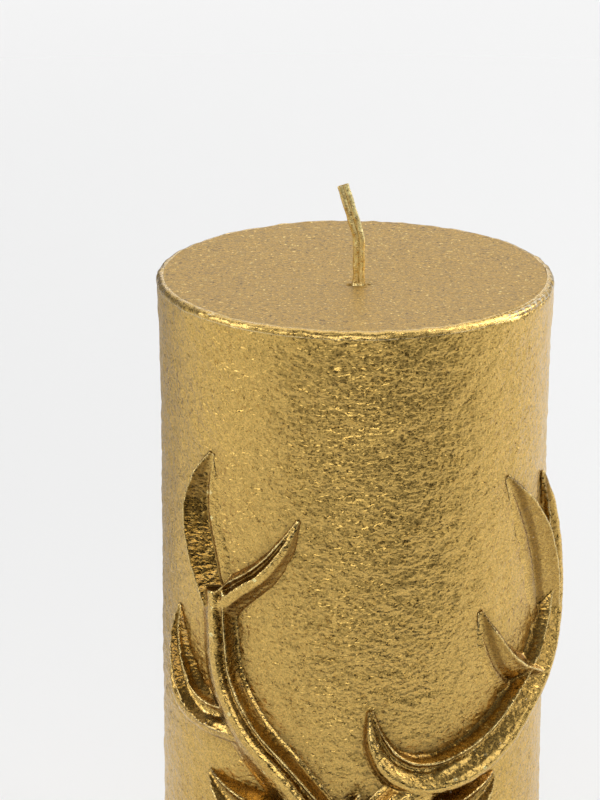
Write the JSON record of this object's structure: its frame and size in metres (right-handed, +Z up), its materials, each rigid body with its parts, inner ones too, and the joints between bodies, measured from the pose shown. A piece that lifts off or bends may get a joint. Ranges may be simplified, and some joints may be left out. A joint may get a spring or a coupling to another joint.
{
  "type": "relief pillar candle",
  "caption": "Round pillar candle with a gold film over the wax, a gold-coated wick, and a stag's head and antlers in relief on one side.",
  "frame": {"origin": "centre of the flat base, on the surface that the candle stands on", "axes": "+Z up the candle, -Y towards the viewer of the stag, +X to that viewer's right"},
  "size_m": [0.072, 0.0762, 0.1678],
  "materials": {
    "candle_wax": "smooth cast wax, slightly greasy",
    "side_gold": "thick metallic gold lacquer with an orange-peel surface",
    "top_gold": "flat tan-gold lacquer with bright and dark flecks",
    "relief_gold": "wax casting under metallic gold lacquer, bright on its ridges and brown in its hollows",
    "wick_cotton": "waxed flat-braided cotton",
    "tinplate": "stamped tinplate"
  },
  "bodies": {
    "root": {"wax_core": "candle_wax", "side_film": "side_gold", "rim_film": "side_gold", "top_film": "top_gold", "wick_braid": "wick_cotton", "wick_film": "side_gold", "wick_tab": "tinplate", "wick_seal": "top_gold", "tab_seal": "candle_wax", "left_antler": "relief_gold", "right_antler": "relief_gold", "stag_head": "relief_gold", "forelock": "relief_gold", "left_ear": "relief_gold", "right_ear": "relief_gold", "neck_ruff": "relief_gold"}
  },
  "joints": []
}
